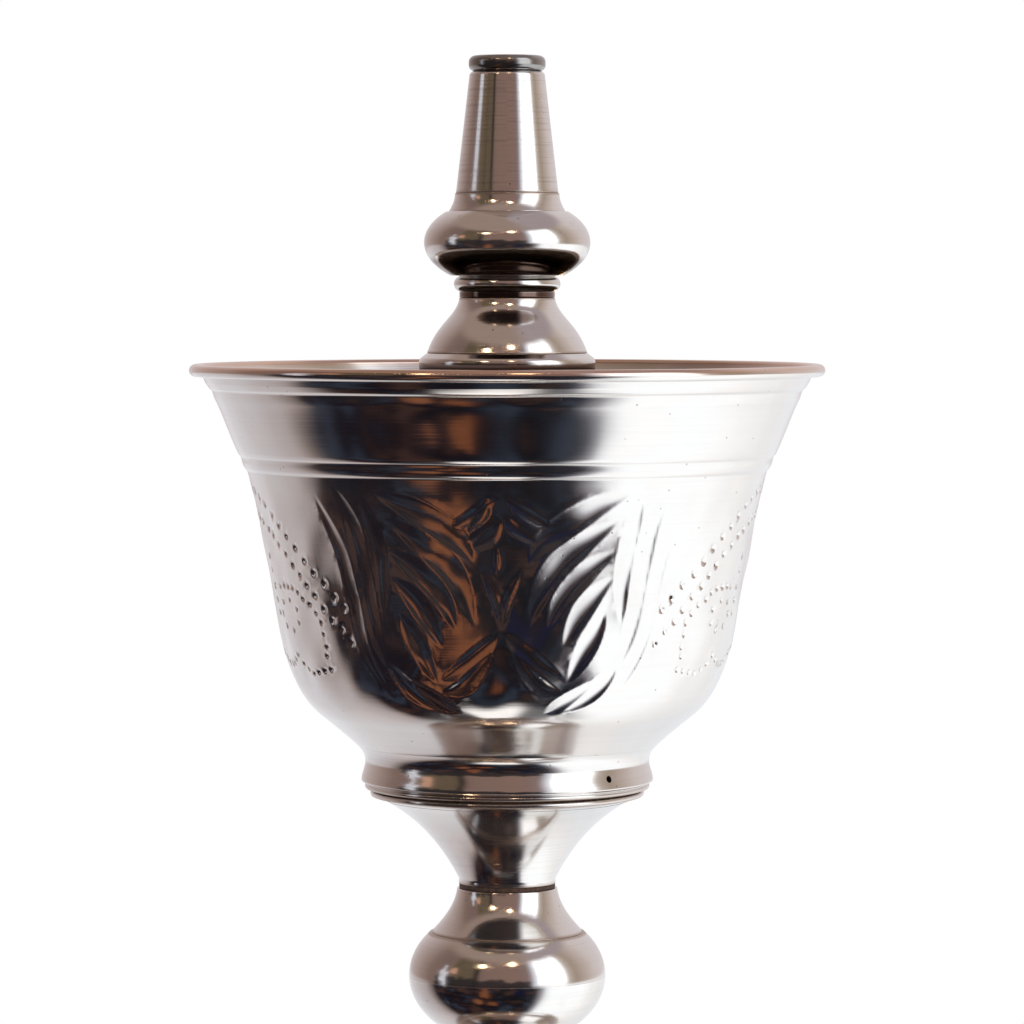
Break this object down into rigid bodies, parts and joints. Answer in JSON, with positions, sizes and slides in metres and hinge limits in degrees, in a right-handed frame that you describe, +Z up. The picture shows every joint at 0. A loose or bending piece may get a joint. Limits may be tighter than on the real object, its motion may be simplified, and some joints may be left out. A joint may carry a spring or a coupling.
{
  "type": "pedestal vessel with central spigot",
  "caption": "Polished metal cup with a chased wall on a ball-knopped stem and round foot, with a tapered hollow spigot on a turned post rising from its middle.",
  "frame": {"origin": "middle of the felt's resting face under the foot", "axes": "+Z up the stem's axis to the spigot's mouth; the cup's vent hole points towards +X and -Y"},
  "size_m": [0.149, 0.149, 0.3235],
  "materials": {
    "nickel": "mirror polished nickel plate with fine turning lines",
    "cup_nickel": "mirror polished nickel plate, chased and punched",
    "brass": "turned",
    "iron": "rough cast",
    "steel": "rolled sheet",
    "fibre": "pressed brown fibre",
    "felt": "wool felt"
  },
  "bodies": {
    "stand": {"column_cap": "nickel", "column_sleeve": "nickel", "cone_seat_plate": "nickel", "stem_cone": "nickel", "joint_washer": "fibre", "ball_upper_neck": "nickel", "ball_upper_half": "nickel", "ball_lower_half": "nickel", "ball_lower_neck": "nickel", "foot_washer": "fibre", "foot_bead_ring": "nickel", "foot_trumpet": "nickel", "foot_dome": "nickel", "foot_rim_ring": "nickel", "stem_tie_tube": "brass", "foot_weight": "iron", "tie_washer": "steel", "tie_nut": "brass", "base_plate": "steel", "base_felt": "felt"},
    "seat": {"seat_washer": "fibre"},
    "cup": {"cup_bowl": "cup_nickel", "rim_wire": "iron", "cup_floor_bush": "nickel", "cup_collar": "nickel"},
    "gasket": {"head_gasket": "fibre"},
    "post": {"head_lip_ring": "nickel", "head_spigot": "nickel", "spigot_step_ring": "nickel", "post_knob": "nickel", "post_neck_ring": "nickel", "post_bell": "nickel", "post_flange": "nickel", "post_core_tube": "brass"}
  },
  "joints": [
    {"name": "cup_turn", "type": "hinge", "parent": "stand", "child": "seat", "pos_m": [0, 0, 0.1512], "axis": [0, 0, 1], "continuous": true},
    {"name": "cup_lift_off", "type": "slide", "parent": "seat", "child": "cup", "axis": [0, 0, 1], "range_m": [0, 0.185]},
    {"name": "post_unscrew", "type": "hinge", "parent": "stand", "child": "gasket", "pos_m": [0, 0, 0.2482], "axis": [0, 0, 1], "range_deg": [0, 3240]},
    {"name": "post_rise", "type": "slide", "parent": "gasket", "child": "post", "axis": [0, 0, 1], "range_m": [0, 0.0135]}
  ],
  "couplings": [
    {"joint": "post_unscrew", "follows": "post_rise", "rad_per_m": 4188.8}
  ]
}
